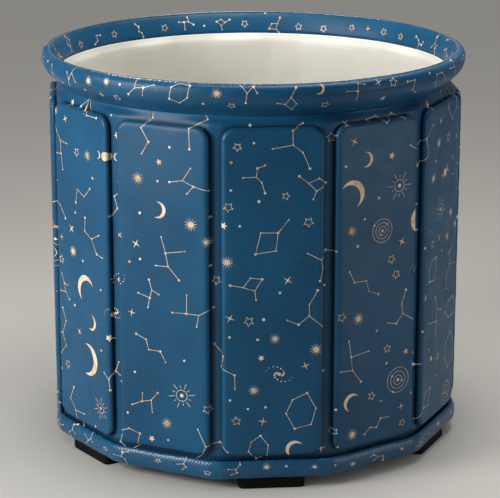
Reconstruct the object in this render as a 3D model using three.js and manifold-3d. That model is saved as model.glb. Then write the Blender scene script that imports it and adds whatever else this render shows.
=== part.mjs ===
// A portable folding bathtub: a round barrel of twelve padded wall panels, each a foam board in a pocket
// of the printed outer skin, with upright support rods in the sleeves at the corners. A stuffed collar
// closes the top, a stuffed roll goes round the base, a white liner holds the water, rubber pads lift the
// base off the ground and a screw-down drain goes through the back panel.
// Millimetres, +Z up. The origin is on the ground under the middle of the tub, and panel 1 faces -Y.
import * as THREE from "three";
import { mergeVertices } from "three/addons/utils/BufferGeometryUtils.js";
import Module from "manifold-3d";

const wasm = await Module();
wasm.setup();

// Clearances and sheet goods
const seatGap = 0.3;
const cutOverrun = 5;
const fabric = 1.6;

// Wall
const panelCount = 12;
const padFaceFlat = 350;
const padRise = 11.3;
const padHeight = 550;
const padLap = 1.5;
const padCorner = 21;
const padEdge = 4.65;
const padCrown = 1.6;
const stripWidth = 20;
const boardThickness = 20;
const padFootGap = 8;
const neckHeight = 17;
const neckEase = 4;
const neckIn = 2.7;

// Stuffed collar at the top
const collarHeight = 52.5;
const collarBulge = 27;
const crestOut = 14;
const creaseOut = 9;
const creaseDepth = 4.5;
const bandOut = 0.5;
const bandDepth = 37.2;
const linerFlare = 14.6;

// Base
const footHeight = 18.7;
const footWidth = 110;
const footDepth = 30;
const footCorner = 8;
const footEdge = 1.5;
const footCount = 6;
const footInset = 8;
const rollHeight = 31;
const rollWidth = 13;
const rollSeamHeight = 4;
const floorThickness = 20;

// Support rods
const rodRadius = 4.5;
const rodTipLength = 1.5;
const rodTipRadius = 3.4;
const sleevePlay = 3;
const sleeveMouthPlay = 0.5;
const rodTopGap = 2;

// Drain
const drainHeight = 114;
const boreRadius = 12.5;
const tubeWall = 3.5;
const tubePlay = 0.5;
const flangeReach = 11;
const flangeThickness = 4;
const gasketThickness = 2;
const washerThickness = 1.5;
const nutThickness = 6;
const nutReach = 9;
const capGap = 1.2;
const capEngagement = 7;
const capWall = 3;
const capFlute = 1.6;
const capFluteCount = 12;
const sealThickness = 2;
const recessPlay = 7;
const stopperPlay = 0.4;
const stopperLength = 13;
const stopperTaper = 1;
const headReach = 3.5;
const headThickness = 3.5;
const headRound = 1.2;
const lugThickness = 4;
const lugRadius = 4.3;
const lugHole = 2.2;
const lugStem = 3;
const ringRadius = 10;
const ringWire = 1.4;

// Facet counts
const roundSides = 48;
const smallSides = 24;
const rodSides = 12;
const wireSides = 8;
const cornerSteps = 3;
const collarSteps = 3;
const rollSteps = 7;
const nutSides = 6;

// Places along a panel's face where the wall's rings have points
const stationShares = [-1, -1 / 3, 1 / 3, 1];
// A pad's rolled edge: how far in and how far up each step is
const edgeShares = [[0, 0.4], [0.3, 0.8], [1, 1]];
const crownShares = [0.62, 0.86];
// The collar's outside: the pull of each bend towards its corner
const bulgeShares = { low: 0.12, lift: 0.11, side: 0.32, shoulder: 0.75, crest: 0.6 };
const widestShare = 0.7;

// Sizes that follow from those above
const pitch = (2 * Math.PI) / panelCount;
const halfPitch = pitch / 2;
const sheetLow = footHeight + seatGap;
const sheetHigh = sheetLow + fabric;
const rollLow = sheetLow;
const rollMiddle = rollLow + rollHeight / 2;
const padLow = rollLow + rollHeight + padFootGap;
const padHigh = padLow + padHeight;
const neckTop = padHigh + neckHeight;
const skinFlat = padFaceFlat - padRise;
const skinCorner = skinFlat / Math.cos(halfPitch) - (stripWidth / 2) * Math.tan(halfPitch);
const neckRadius = skinFlat - neckIn;
const collarLow = neckTop + seatGap;
const collarTop = collarLow + collarHeight;
const bandRadius = neckRadius + bandOut;
const bandLow = collarTop - bandDepth;
const rodRadial = skinCorner - fabric - sleevePlay - rodRadius;
const linerFlat = padFaceFlat - fabric - seatGap - boardThickness - seatGap;
const linerCorner = rodRadial - rodRadius - sleevePlay;
const floorFoamLow = sheetHigh + seatGap;
const floorLow = floorFoamLow + floorThickness + seatGap;
const tubeRadius = boreRadius + tubeWall;
const recessRadius = tubeRadius + nutReach + recessPlay;

const faceHalfWidth = (flat, corner) => (corner - flat * Math.cos(halfPitch)) / Math.sin(halfPitch);
const padHalfWidth = faceHalfWidth(skinFlat, skinCorner) + padLap;

const colours = {
  print: 0x1d4a78,
  liner: 0xf1ede2,
  foam: 0xe6e8ea,
  rod: 0xc9ccd0,
  rubber: 0x17181a,
  base: 0x20242b,
  fitting: 0xe9ebec,
  seal: 0x8d9298,
  steel: 0xc4c7cb,
};
const finish = (color, roughness, metalness = 0) =>
  new THREE.MeshStandardMaterial({ color, roughness, metalness });

// A geometry as a solid that can be cut and joined. Its faces are turned to point outwards.
function solid(geometry) {
  const bare = new THREE.BufferGeometry();
  bare.setAttribute("position", geometry.getAttribute("position"));
  if (geometry.index) bare.setIndex(geometry.index);
  const merged = mergeVertices(bare, seatGap / 100);
  const at = merged.getAttribute("position");
  const index = merged.index.array;
  const faces = [];
  const [a, b, c] = [new THREE.Vector3(), new THREE.Vector3(), new THREE.Vector3()];
  let volume = 0;
  for (let i = 0; i < index.length; i += 3) {
    const [p, q, r] = [index[i], index[i + 1], index[i + 2]];
    if (p === q || q === r || r === p) continue;
    faces.push(p, q, r);
    a.fromBufferAttribute(at, p);
    b.fromBufferAttribute(at, q);
    c.fromBufferAttribute(at, r);
    volume += a.dot(b.cross(c));
  }
  if (volume < 0) faces.reverse();
  const triVerts = new Uint32Array(faces);
  const vertProperties = new Float32Array(at.array);
  return new wasm.Manifold(new wasm.Mesh({ numProp: 3, vertProperties, triVerts }));
}

function geometryOf(body) {
  const made = body.getMesh();
  const geometry = new THREE.BufferGeometry();
  geometry.setAttribute("position", new THREE.BufferAttribute(made.vertProperties, 3));
  geometry.setIndex(new THREE.BufferAttribute(made.triVerts, 1));
  const flat = geometry.toNonIndexed();
  flat.computeVertexNormals();
  return flat;
}

const tub = new THREE.Group();

function piece(name, body, material, turn = 0) {
  const mesh = new THREE.Mesh(geometryOf(body), material);
  mesh.name = name;
  mesh.rotation.z = turn;
  tub.add(mesh);
}

// A body through rings of points. Rings that close on themselves need no ends; otherwise each end ring is
// closed by a fan round its middle.
function loft(rings, closesOnItself = false) {
  const count = rings[0].length;
  const points = rings.flat();
  const faces = [];
  const spans = closesOnItself ? rings.length : rings.length - 1;
  for (let i = 0; i < spans; i++) {
    const here = i * count;
    const next = ((i + 1) % rings.length) * count;
    for (let j = 0; j < count; j++) {
      const k = (j + 1) % count;
      faces.push(here + j, here + k, next + k, here + j, next + k, next + j);
    }
  }
  const fan = (ring, first, turned) => {
    const middle = points.length;
    points.push(ring.reduce((sum, p) => sum.add(p), new THREE.Vector3()).divideScalar(count));
    for (let j = 0; j < count; j++) {
      const k = (j + 1) % count;
      faces.push(middle, first + (turned ? k : j), first + (turned ? j : k));
    }
  };
  if (!closesOnItself) {
    fan(rings[0], 0, true);
    fan(rings[rings.length - 1], (rings.length - 1) * count, false);
  }
  const geometry = new THREE.BufferGeometry().setFromPoints(points);
  geometry.setIndex(faces);
  return solid(geometry);
}

// One level of the wall: flats at `flat` from the axis, cut across each corner at `corner`. It can be
// drawn towards a circle of the given radius.
function wallRing(flat, corner, z, radius = 0, roundness = 0) {
  const half = faceHalfWidth(flat, corner);
  const ring = [];
  for (let k = 0; k < panelCount; k++) {
    for (const share of stationShares) {
      const p = new THREE.Vector3(half * share, -flat, 0);
      p.multiplyScalar(1 + (radius / p.length() - 1) * roundness);
      p.applyAxisAngle(new THREE.Vector3(0, 0, 1), k * pitch);
      ring.push(p.setZ(z));
    }
  }
  return ring;
}

// A round-cornered upright rectangle on panel 1, facing -Y, at `out` from the axis
function panelRing(out, halfWidth, low, high, radius) {
  const ring = [];
  const corners = [[1, 1], [-1, 1], [-1, -1], [1, -1]];
  corners.forEach(([side, up], i) => {
    for (let s = 0; s <= cornerSteps; s++) {
      const turn = (i + s / cornerSteps) * (Math.PI / 2);
      const x = side * (halfWidth - radius) + radius * Math.cos(turn);
      const z = (up > 0 ? high - radius : low + radius) + radius * Math.sin(turn);
      ring.push(new THREE.Vector3(x, -out, z));
    }
  });
  return ring;
}

// The pad's form, drawn in all round by `inset`, from `back` to its crowned face. The pad, the pocket in it
// and the foam board in the pocket are this form at three insets.
function panelForm(inset, back) {
  const half = padHalfWidth - inset;
  const low = padLow + inset;
  const high = padHigh - inset;
  const radius = padCorner - inset;
  const face = padFaceFlat - inset;
  const middle = (low + high) / 2;
  const rings = [panelRing(back, half, low, high, radius)];
  for (const [inShare, upShare] of edgeShares) {
    const drawn = padEdge * inShare;
    const out = face - padRise * (1 - upShare);
    rings.push(panelRing(out, half - drawn, low + drawn, high - drawn, radius - drawn));
  }
  const [crownShare, crownRiseShare] = crownShares;
  const reach = (high - low) / 2 - padEdge - (half - padEdge) * (1 - crownShare);
  const out = face + padCrown * crownRiseShare;
  const crownHalf = (half - padEdge) * crownShare;
  rings.push(panelRing(out, crownHalf, middle - reach, middle + reach, (radius - padEdge) * crownShare));
  return loft(rings);
}

// A round bar or bore along Y through the drain's middle, between two distances from the tub's axis
function drainBar(radius, from, to, sides = smallSides) {
  const bar = new THREE.CylinderGeometry(radius, radius, to - from, sides);
  bar.translate(0, (from + to) / 2, drainHeight);
  return solid(bar);
}

// A turned piece round the drain's axis, from points of [radius, distance from the tub's axis]
function turned(points, sides = smallSides) {
  const profile = points.map(([radius, out]) => new THREE.Vector2(radius, out));
  const closes = points[0][0] > 0 ? [profile[0]] : [];
  const lathe = new THREE.LatheGeometry([...profile, ...closes], sides);
  lathe.translate(0, 0, drainHeight);
  return solid(lathe);
}

const drainPanel = panelCount / 2;
const skinHoleRadius = tubeRadius + tubePlay;

function outerSkin() {
  const level = (z, inset) => wallRing(skinFlat - inset, skinCorner - inset, z);
  const neck = (inset) => wallRing(skinFlat - inset, skinCorner - inset, neckTop, neckRadius - inset, 1);
  const low = sheetHigh + seatGap;
  const high = padHigh + neckEase;
  const outside = [level(low, 0), level(high, 0), neck(0)];
  const inside = [neck(fabric), level(high, fabric), level(low, fabric)];
  let skin = loft([...outside, ...inside], true);
  for (let k = 0; k < panelCount; k++) {
    const pad = geometryOf(panelForm(0, skinFlat - fabric / 2)).rotateZ(k * pitch);
    skin = skin.add(solid(pad));
  }
  const recess = drainBar(recessRadius, skinFlat, padFaceFlat + cutOverrun);
  const post = drainBar(recessRadius + fabric, skinFlat - fabric, padFaceFlat + cutOverrun);
  for (let k = 0; k < panelCount; k++) {
    const pocket = geometryOf(panelForm(fabric, skinFlat - fabric - cutOverrun)).rotateZ(k * pitch);
    const hollow = k === drainPanel ? solid(pocket).subtract(post) : solid(pocket);
    skin = skin.subtract(hollow);
  }
  const hole = drainBar(skinHoleRadius, skinFlat - fabric - cutOverrun, padFaceFlat);
  return skin.subtract(recess).subtract(hole);
}

function foamBoard(k) {
  const board = panelForm(fabric + seatGap, linerFlat + seatGap);
  if (k !== drainPanel) return board;
  const recessIn = skinFlat - fabric - seatGap;
  const recess = drainBar(recessRadius + fabric + seatGap, recessIn, padFaceFlat + cutOverrun);
  const hole = drainBar(skinHoleRadius, linerFlat - cutOverrun, padFaceFlat);
  const cut = geometryOf(recess.add(hole)).rotateZ(-k * pitch);
  return board.subtract(solid(cut));
}

function innerLiner() {
  const level = (z, inset) => wallRing(linerFlat - inset, linerCorner - inset, z);
  const rim = (inset) => {
    const radius = bandRadius + fabric - inset;
    return wallRing(linerFlat - inset, linerCorner - inset, bandLow - seatGap, radius, 1);
  };
  const flare = bandLow - linerFlare;
  const rings = [level(floorLow, 0), level(flare, 0), rim(0), rim(fabric), level(flare, fabric)];
  const bag = loft([...rings, level(floorLow + fabric, fabric)]);
  return bag.subtract(drainBar(skinHoleRadius, linerFlat - fabric - cutOverrun, linerFlat + cutOverrun));
}

// The collar's outside from the neck, out round the stuffing, over the crest and down the inner band
function collarLine() {
  const s = bulgeShares;
  const outline = new THREE.Path();
  const widest = collarLow + collarHeight * widestShare;
  outline.moveTo(neckRadius, collarLow);
  outline.bezierCurveTo(
    neckRadius + collarBulge * s.low, collarLow + collarHeight * s.lift,
    neckRadius + collarBulge, widest - collarHeight * s.side,
    neckRadius + collarBulge, widest,
  );
  outline.bezierCurveTo(
    neckRadius + collarBulge, widest + (collarTop - widest) * s.shoulder,
    neckRadius + crestOut + (collarBulge - crestOut) * s.crest, collarTop,
    neckRadius + crestOut, collarTop,
  );
  outline.quadraticCurveTo(
    neckRadius + creaseOut, collarTop,
    neckRadius + creaseOut, collarTop - creaseDepth,
  );
  outline.lineTo(bandRadius, bandLow);
  return outline.getPoints(collarSteps);
}

// A line of points moved sideways by a distance, to the right of its run, with its two ends kept level
function beside(line, distance) {
  return line.map((p, i) => {
    const before = line[Math.max(i - 1, 0)];
    const after = line[Math.min(i + 1, line.length - 1)];
    const run = after.clone().sub(before).normalize();
    const isEnd = before === p || after === p;
    return new THREE.Vector2(p.x + run.y * distance, isEnd ? p.y : p.y - run.x * distance);
  });
}

// A round piece about the tub's axis from a closed section of [radius, height] points
function roundBody(section) {
  const lathe = new THREE.LatheGeometry([...section, section[0]], roundSides);
  lathe.rotateX(Math.PI / 2);
  return solid(lathe);
}

function collarCover() {
  const line = collarLine();
  return roundBody([...line, ...beside(line, -fabric).reverse()]);
}

function collarFoam() {
  const line = beside(collarLine(), -(fabric + seatGap));
  return roundBody(line.slice(Math.ceil(collarSteps / 2)));
}

// The base roll's section as [distance out of the wall, height] from one edge of its seam round to the
// other, drawn in by `inset`
function rollLine(inset) {
  const seamShare = rollSeamHeight / (Math.PI * rollHeight);
  const line = [];
  for (let s = 0; s <= rollSteps; s++) {
    const turn = 2 * Math.PI * (seamShare + (1 - 2 * seamShare) * (s / rollSteps));
    const out = rollWidth / 2 - (rollWidth / 2 - inset) * Math.cos(turn);
    line.push([out, rollMiddle + (rollHeight / 2 - inset) * Math.sin(turn)]);
  }
  return line;
}

function rollBody(section) {
  const near = skinFlat + seatGap;
  const nearCorner = skinCorner + seatGap;
  return loft(section.map(([out, z]) => wallRing(near + out, nearCorner + out, z)), true);
}

// The cover is open along the seam at the wall, where the two edges of the strip are sewn in.
function baseRollCover() {
  return rollBody([...rollLine(0), ...rollLine(fabric).reverse()]);
}

function baseRollCore() {
  return rollBody(rollLine(fabric + seatGap));
}

function baseSheet() {
  let sheet = loft([wallRing(skinFlat, skinCorner, sheetLow), wallRing(skinFlat, skinCorner, sheetHigh)]);
  for (let k = 0; k < panelCount; k++) {
    const mouth = new THREE.CylinderGeometry(
      rodRadius + sleeveMouthPlay, rodRadius + sleeveMouthPlay, fabric + cutOverrun, rodSides,
    );
    mouth.rotateX(Math.PI / 2);
    mouth.translate(0, -rodRadial, (sheetLow + sheetHigh) / 2);
    mouth.rotateZ((k + 1 / 2) * pitch);
    sheet = sheet.subtract(solid(mouth));
  }
  return sheet;
}

function floorFoam() {
  const high = floorFoamLow + floorThickness;
  return loft([wallRing(linerFlat, linerCorner, floorFoamLow), wallRing(linerFlat, linerCorner, high)]);
}

// A rod with a blunt tip at each end. It stands in the corner sleeve, and its foot is in the sleeve's mouth.
function supportRod() {
  const low = sheetLow;
  const high = padHigh + rodTopGap;
  const profile = [
    [0, low], [rodTipRadius, low], [rodRadius, low + rodTipLength],
    [rodRadius, high - rodTipLength], [rodTipRadius, high], [0, high],
  ];
  const rod = new THREE.LatheGeometry(profile.map(([r, z]) => new THREE.Vector2(r, z)), rodSides);
  rod.rotateX(Math.PI / 2);
  rod.translate(0, -rodRadial, 0);
  return solid(rod);
}

function footPad() {
  const shape = new THREE.Shape();
  const x = footWidth / 2 - footEdge;
  const y = footDepth / 2 - footEdge;
  shape.moveTo(-x + footCorner, -y);
  shape.lineTo(x - footCorner, -y);
  shape.quadraticCurveTo(x, -y, x, -y + footCorner);
  shape.lineTo(x, y - footCorner);
  shape.quadraticCurveTo(x, y, x - footCorner, y);
  shape.lineTo(-x + footCorner, y);
  shape.quadraticCurveTo(-x, y, -x, y - footCorner);
  shape.lineTo(-x, -y + footCorner);
  shape.quadraticCurveTo(-x, -y, -x + footCorner, -y);
  const pad = new THREE.ExtrudeGeometry(shape, {
    depth: footHeight - 2 * footEdge, curveSegments: cornerSteps,
    bevelThickness: footEdge, bevelSize: footEdge, bevelSegments: 1,
  });
  const rollFace = skinFlat + seatGap + rollWidth;
  pad.translate(0, -(rollFace - footInset - footDepth / 2), footEdge);
  return solid(pad);
}

// Where each drain piece starts and ends, as distances from the tub's axis
const linerFace = linerFlat - fabric;
const gasketOut = linerFace - seatGap;
const flangeOut = gasketOut - gasketThickness - seatGap;
const flangeIn = flangeOut - flangeThickness;
const washerIn = skinFlat + seatGap;
const nutIn = washerIn + washerThickness + seatGap;
const capIn = nutIn + nutThickness + capGap;
const tubeEnd = capIn + capEngagement;
const sealIn = tubeEnd + seatGap;
const capFloor = sealIn + sealThickness + seatGap;
const flangeRadius = tubeRadius + flangeReach;
const pivotOut = flangeIn - seatGap - headThickness - lugStem;

function drainBody() {
  return turned([
    [boreRadius, flangeIn], [flangeRadius - headRound, flangeIn], [flangeRadius, flangeIn + headRound],
    [flangeRadius, flangeOut], [tubeRadius, flangeOut], [tubeRadius, tubeEnd], [boreRadius, tubeEnd],
  ]);
}

function flatRing(inner, outer, from, to) {
  return turned([[inner, from], [outer, from], [outer, to], [inner, to]]);
}

function lockNut() {
  const hex = drainBar(tubeRadius + nutReach, nutIn, nutIn + nutThickness, nutSides);
  return hex.subtract(drainBar(skinHoleRadius, nutIn - cutOverrun, nutIn + nutThickness + cutOverrun));
}

function drainCap() {
  const inside = tubeRadius + tubePlay;
  const outside = inside + capWall;
  const top = capFloor + capWall;
  let cap = turned([
    [0, capFloor], [inside, capFloor], [inside, capIn], [outside, capIn],
    [outside, top - headRound], [outside - headRound, top], [0, top],
  ]);
  for (let i = 0; i < capFluteCount; i++) {
    const flute = new THREE.CylinderGeometry(capFlute, capFlute, top - capIn + cutOverrun, wireSides);
    flute.translate(outside + capFlute / 2, (capIn + top) / 2, 0);
    flute.rotateY((i / capFluteCount) * 2 * Math.PI);
    flute.translate(0, 0, drainHeight);
    cap = cap.subtract(solid(flute));
  }
  return cap;
}

function capSeal() {
  const sealOut = sealIn + sealThickness;
  return turned([[0, sealIn], [tubeRadius, sealIn], [tubeRadius, sealOut], [0, sealOut]]);
}

function drainStopper() {
  const head = flangeIn - seatGap;
  const face = head - headThickness;
  const plug = boreRadius - stopperPlay;
  const headRadius = boreRadius + headReach;
  const body = turned([
    [0, face], [headRadius - headRound, face], [headRadius, face + headRound], [headRadius, head],
    [plug, head], [plug - stopperTaper, head + stopperLength], [0, head + stopperLength],
  ]);
  const shape = new THREE.Shape();
  shape.moveTo(face + headRound, lugRadius);
  shape.lineTo(pivotOut, lugRadius);
  shape.absarc(pivotOut, 0, lugRadius, Math.PI / 2, (3 * Math.PI) / 2, false);
  shape.lineTo(face + headRound, -lugRadius);
  shape.closePath();
  const hole = new THREE.Path();
  hole.absarc(pivotOut, 0, lugHole, 0, 2 * Math.PI, true);
  shape.holes.push(hole);
  const lug = new THREE.ExtrudeGeometry(shape, {
    depth: lugThickness, bevelEnabled: false, curveSegments: wireSides,
  });
  lug.translate(0, 0, -lugThickness / 2);
  const [x, y, z] = [new THREE.Vector3(1, 0, 0), new THREE.Vector3(0, 1, 0), new THREE.Vector3(0, 0, 1)];
  lug.applyMatrix4(new THREE.Matrix4().makeBasis(y, z, x));
  lug.translate(0, 0, drainHeight);
  return body.add(solid(lug));
}

// The ring hangs through the lug, and its wire at the top lies on the hinge line.
function pullRing() {
  const ring = new THREE.TorusGeometry(ringRadius, ringWire, wireSides, smallSides);
  ring.rotateX(Math.PI / 2);
  ring.translate(0, pivotOut, drainHeight - ringRadius);
  return solid(ring);
}

const printed = finish(colours.print, 0.42);
const foam = finish(colours.foam, 0.9);
const rubber = finish(colours.rubber, 0.8);
const seal = finish(colours.seal, 0.7);
const fitting = finish(colours.fitting, 0.35);
const rodFinish = finish(colours.rod, 0.4, 0.2);
const numbered = (name, k) => name + "_" + String(k + 1).padStart(2, "0");

piece("outer_skin", outerSkin(), printed);
for (let k = 0; k < panelCount; k++) piece(numbered("foam_board", k), foamBoard(k), foam, k * pitch);
for (let k = 0; k < panelCount; k++) {
  piece(numbered("support_rod", k), supportRod(), rodFinish, (k + 1 / 2) * pitch);
}
piece("inner_liner", innerLiner(), finish(colours.liner, 0.5));
piece("floor_foam", floorFoam(), foam);
piece("base_sheet", baseSheet(), finish(colours.base, 0.7));
piece("collar_cover", collarCover(), printed);
piece("collar_foam", collarFoam(), foam);
piece("base_roll_cover", baseRollCover(), printed);
piece("base_roll_core", baseRollCore(), foam);
for (let i = 0; i < footCount; i++) {
  piece(numbered("foot_pad", i), footPad(), rubber, (i / footCount) * 2 * Math.PI);
}
piece("drain_body", drainBody(), fitting);
const gasketReach = flangeRadius - headRound;
piece("drain_gasket", flatRing(skinHoleRadius, gasketReach, gasketOut - gasketThickness, gasketOut), seal);
const washerReach = tubeRadius + nutReach;
piece("drain_washer", flatRing(skinHoleRadius, washerReach, washerIn, washerIn + washerThickness), seal);
piece("drain_lock_nut", lockNut(), fitting);
piece("drain_cap", drainCap(), fitting);
piece("drain_cap_seal", capSeal(), seal);
piece("drain_stopper", drainStopper(), fitting);
piece("stopper_ring", pullRing(), finish(colours.steel, 0.25, 0.9));

export default tub;
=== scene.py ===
import math
import random

import bmesh
import bpy
from mathutils import Matrix, Vector, noise
from mathutils.bvhtree import BVHTree


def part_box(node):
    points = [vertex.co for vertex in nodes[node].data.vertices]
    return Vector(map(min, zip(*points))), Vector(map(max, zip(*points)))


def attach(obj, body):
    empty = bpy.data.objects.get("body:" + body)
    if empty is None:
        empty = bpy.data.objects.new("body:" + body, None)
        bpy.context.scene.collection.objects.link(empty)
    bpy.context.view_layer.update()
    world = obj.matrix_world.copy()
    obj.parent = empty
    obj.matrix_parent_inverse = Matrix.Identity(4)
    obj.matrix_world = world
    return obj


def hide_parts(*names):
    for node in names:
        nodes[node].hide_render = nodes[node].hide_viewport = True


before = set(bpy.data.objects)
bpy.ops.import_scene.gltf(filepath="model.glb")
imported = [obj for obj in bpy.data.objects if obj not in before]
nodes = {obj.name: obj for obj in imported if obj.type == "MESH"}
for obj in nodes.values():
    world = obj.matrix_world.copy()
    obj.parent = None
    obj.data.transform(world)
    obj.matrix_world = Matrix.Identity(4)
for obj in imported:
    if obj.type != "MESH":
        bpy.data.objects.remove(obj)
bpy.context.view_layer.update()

# The view, the floor and the lamps: the camera stands where the photograph was taken from, worked out from
# the rim, the panel edges and the base. A broad lamp on the left and one above light the tub, with weaker
# ones low on the right and behind it, on a plain pale floor in a pale room.
VIEW_DISTANCE = 3.7729
VIEW_RISE = math.radians(18.747)
VIEW_TURN = math.radians(-5.170)
VIEW_PITCH = math.radians(15.745)
VIEW_YAW = math.radians(0.093)
VIEW_CENTRE_HEIGHT = 0.108
VIEW_END = 50
FOCAL_PIXELS = 2102.35
PICTURE_WIDTH = 500
SENSOR = 36
FLOOR_REACH = 12
FLOOR_COLOUR = (0.42, 0.41, 0.39, 1)
FLOOR_PALENESS = (0.20, 0.192, 0.178, 1)
FLOOR_ROUGHNESS = 0.7
FLOOR_GLOSS = 0.2
# How far the floor's painted contact shadow reaches under the tub
CONTACT_REACH = 0.12
ROOM_COLOUR = (0.93, 0.95, 1.0, 1)
ROOM_STRENGTH = 0.055
ROOM_PALENESS = 0.20

# Each lamp: its name, place, target, size in metres, watts and colour
LAMPS = [
    ("window", (-1.85, -0.95, 1.10), (0, 0, 0.50), (0.8, 0.9), 48, (1.0, 0.985, 0.96)),
    ("fill", (1.42, -0.95, 0.38), (0, 0, 0.45), (0.4, 0.5), 3.8, (0.95, 0.98, 1.0)),
    ("ceiling", (0.3, 0.0, 1.9), (0, 0, 0.6), (0.9, 0.9), 22, (1.0, 0.98, 0.95)),
    ("back", (0.9, 2.1, 1.7), (0, 0, 0.6), (0.7, 0.9), 2, (1.0, 0.82, 0.62)),
]

scene = bpy.context.scene


def add_camera():
    data = bpy.data.cameras.new("view")
    data.sensor_width = SENSOR
    data.lens = FOCAL_PIXELS * SENSOR / PICTURE_WIDTH
    data.clip_end = VIEW_END
    camera = bpy.data.objects.new("view", data)
    out = VIEW_DISTANCE * math.cos(VIEW_RISE)
    height = VIEW_DISTANCE * math.sin(VIEW_RISE) + VIEW_CENTRE_HEIGHT
    camera.location = (out * math.sin(VIEW_TURN), -out * math.cos(VIEW_TURN), height)
    camera.rotation_euler = (math.pi / 2 - VIEW_PITCH, 0, VIEW_TURN + VIEW_YAW)
    scene.collection.objects.link(camera)
    scene.camera = camera


def add_lamp(name, place, target, size, power, colour):
    data = bpy.data.lights.new(name, "AREA")
    data.shape = "RECTANGLE"
    data.size, data.size_y = size
    data.energy = power
    data.color = colour
    lamp = bpy.data.objects.new(name, data)
    lamp.location = place
    aim = Vector(target) - Vector(place)
    lamp.rotation_euler = aim.to_track_quat("-Z", "Y").to_euler()
    scene.collection.objects.link(lamp)


def put_in_scene(bm, name):
    """The bmesh as a smooth-shaded object at the origin."""
    mesh = bpy.data.meshes.new(name)
    bm.to_mesh(mesh)
    bm.free()
    mesh.shade_smooth()
    made = bpy.data.objects.new(name, mesh)
    scene.collection.objects.link(made)
    return made


class Nodes:
    """Adds nodes to a tree one call at a time; each call gives the node's output."""

    def __init__(self, tree):
        self.tree = tree

    def put(self, socket, value):
        if isinstance(value, bpy.types.NodeSocket):
            self.tree.links.new(value, socket)
        else:
            socket.default_value = value

    def add(self, kind, output=0, props=(), order=(), **inputs):
        node = self.tree.nodes.new("ShaderNode" + kind)
        for key, value in dict(props).items():
            setattr(node, key, value)
        for index, value in enumerate(order):
            self.put(node.inputs[index], value)
        for key, value in inputs.items():
            self.put(node.inputs[key], value)
        return node.outputs[output]

    def math(self, operation, *values):
        return self.add("Math", 0, {"operation": operation}, values)

    def mix(self, factor, a, b, blend="MIX"):
        """Two colours mixed; the sockets are numbered, as several share one name."""
        node = self.tree.nodes.new("ShaderNodeMix")
        node.data_type = "RGBA"
        node.blend_type = blend
        for index, value in ((0, factor), (6, a), (7, b)):
            self.put(node.inputs[index], value)
        return node.outputs[2]

    def between(self, value, low, high):
        """0 at the low value and 1 at the high one."""
        return self.add("MapRange", 0, (), (value, low, high, 0.0, 1.0))

    def group(self, tree, **inputs):
        node = self.tree.nodes.new("ShaderNodeGroup")
        node.node_tree = tree
        for key, value in inputs.items():
            self.put(node.inputs[key], value)
        return node.outputs

    def fill(self, name, inputs):
        """Sets or links the inputs of a node that the tree already has."""
        for key, value in inputs.items():
            self.put(self.tree.nodes[name].inputs[key], value)


def new_material(name, build):
    """A material whose shader inputs the build function gives, from the material's Nodes."""
    material = bpy.data.materials.new(name)
    material.use_nodes = True
    n = Nodes(material.node_tree)
    n.fill("Principled BSDF", build(n))
    return material


def seen_or_mirrored(n):
    """One for what the eye sees directly, in a reflection or through glass, and nought for light."""
    path = n.tree.nodes.new("ShaderNodeLightPath")
    seen = path.outputs["Is Camera Ray"]
    for kind in ("Is Glossy Ray", "Is Transmission Ray"):
        seen = n.math("MAXIMUM", seen, path.outputs[kind])
    return seen


def pale_floor(n):
    """A matt floor that shows pale to the eye and in reflections, with a painted contact shadow close under
    the tub.
    """
    # Painted contact shadow: the floor's paleness fades out where the tub closes over it
    unshadowed = n.add("AmbientOcclusion", "AO", Distance=CONTACT_REACH)
    return {
        "Base Color": FLOOR_COLOUR,
        "Roughness": FLOOR_ROUGHNESS,
        "Specular IOR Level": FLOOR_GLOSS,
        "Emission Color": FLOOR_PALENESS,
        "Emission Strength": n.math("MULTIPLY", unshadowed, seen_or_mirrored(n)),
    }


def add_floor():
    bm = bmesh.new()
    bmesh.ops.create_grid(bm, x_segments=1, y_segments=1, size=FLOOR_REACH)
    ground = put_in_scene(bm, "ground")
    ground.data.materials.append(new_material("pale_floor", pale_floor))


def add_room():
    """A world that is dim as a light, and paler where it is seen or mirrored."""
    scene.world = bpy.data.worlds.new("room")
    scene.world.use_nodes = True
    n = Nodes(scene.world.node_tree)
    strength = n.add("Mix", "Result", Factor=seen_or_mirrored(n), A=ROOM_STRENGTH, B=ROOM_PALENESS)
    n.fill("Background", {"Color": ROOM_COLOUR, "Strength": strength})


add_camera()
for lamp in LAMPS:
    add_lamp(*lamp)
add_floor()
add_room()
scene.view_settings.view_transform = "Standard"

# The wall sheet: the printed cloth between and behind the panels, a coated satin twill sewn to the base at
# the bottom and to the collar at the top. It is flat under each panel and cut across at the twelve corners,
# round the support rods, and it draws in to a round neck below the collar.
CLOTH_BLUE = (0.008, 0.094, 0.202, 1)
CLOTH_DEEP = (0.005, 0.064, 0.145, 1)
CLOTH_SHEEN = (0.5, 0.72, 1.0, 1)
CLOTH_ROUGHNESS = 0.38
CLOTH_GLOSS = 0.27
CLOTH_DENT = 0.0012
WEAVE_DEPTH = 0.00028
TWILL_PITCH = 0.0038
THREAD_PITCH = 0.0011
RIDGE_HEIGHT = 0.85
KNOT_HEIGHT = 0.06
# Painted shade of the weave: the colour at a groove, and how much lighter a ridge is painted
WEAVE_GROOVE_SHADE = 0.83
WEAVE_RIDGE_LIGHT = 0.34
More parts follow.
